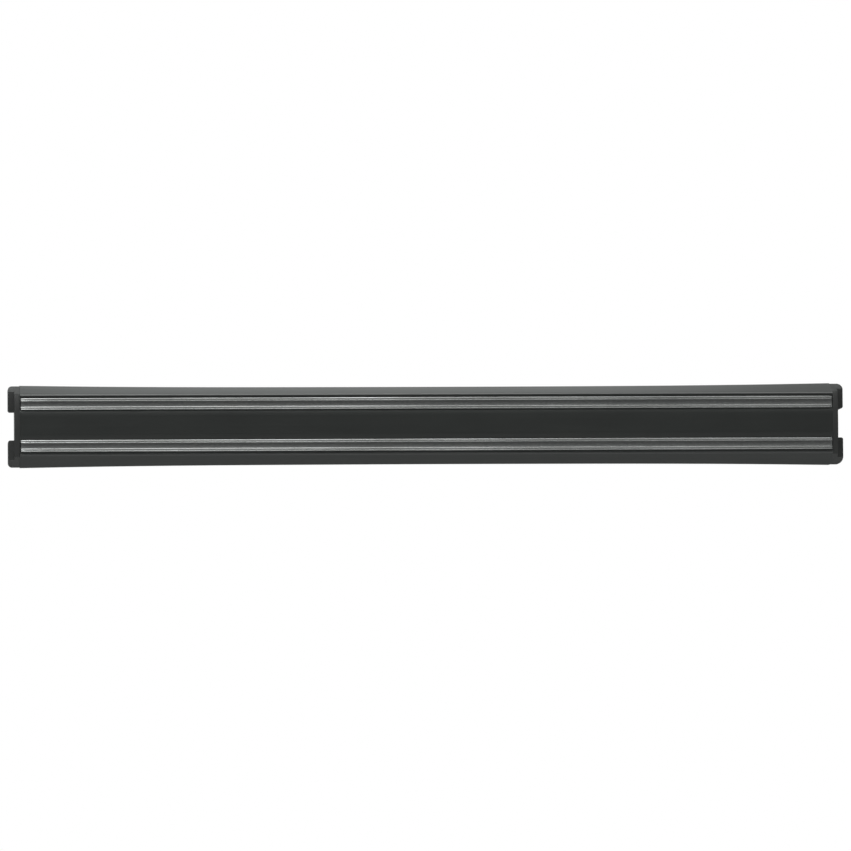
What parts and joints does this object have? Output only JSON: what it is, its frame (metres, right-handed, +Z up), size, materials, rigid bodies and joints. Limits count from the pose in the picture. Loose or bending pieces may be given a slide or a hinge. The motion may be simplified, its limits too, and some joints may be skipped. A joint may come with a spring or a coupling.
{
  "type": "magnetic knife rack",
  "caption": "Straight wall-hung bar with sloping faces, magnetic rails of steel strips set in its front, and notched end caps with sliding screw tongues behind.",
  "frame": {"origin": "centre of the rack's back, on the wall's plane", "axes": "+X along the rack, +Z up, and the wall on the +Y side, so that knives hang on the -Y side"},
  "size_m": [0.5, 0.024, 0.049],
  "materials": {
    "extruded_plastic": "satin black extrusion",
    "moulded_plastic": "fine moulded satin black",
    "pole_steel": "ground along its length, worn bright at the edges",
    "filler_plastic": "matt dark grey",
    "ferrite": "sintered, dull",
    "zinc_plated_steel": "bright zinc plate"
  },
  "bodies": {
    "rack": {"body": "extruded_plastic", "end_cap_left": "moulded_plastic", "end_cap_right": "moulded_plastic", "pole_strip_upper_outer": "pole_steel", "pole_strip_upper_inner": "pole_steel", "pole_strip_lower_outer": "pole_steel", "pole_strip_lower_inner": "pole_steel", "gap_filler_upper": "filler_plastic", "gap_filler_lower": "filler_plastic", "magnet_upper_01": "ferrite", "magnet_upper_02": "ferrite", "magnet_upper_03": "ferrite", "magnet_upper_04": "ferrite", "magnet_upper_05": "ferrite", "magnet_upper_06": "ferrite", "magnet_upper_07": "ferrite", "magnet_upper_08": "ferrite", "magnet_upper_09": "ferrite", "magnet_upper_10": "ferrite", "magnet_lower_01": "ferrite", "magnet_lower_02": "ferrite", "magnet_lower_03": "ferrite", "magnet_lower_04": "ferrite", "magnet_lower_05": "ferrite", "magnet_lower_06": "ferrite", "magnet_lower_07": "ferrite", "magnet_lower_08": "ferrite", "magnet_lower_09": "ferrite", "magnet_lower_10": "ferrite"},
    "tongue_left": {"fixing_tongue_left": "zinc_plated_steel"},
    "tongue_right": {"fixing_tongue_right": "zinc_plated_steel"}
  },
  "joints": [
    {"name": "tongue_left_slide", "type": "slide", "parent": "rack", "child": "tongue_left", "axis": [-1, 0, 0], "range_m": [0, 0.024]},
    {"name": "tongue_right_slide", "type": "slide", "parent": "rack", "child": "tongue_right", "axis": [1, 0, 0], "range_m": [0, 0.024]}
  ]
}
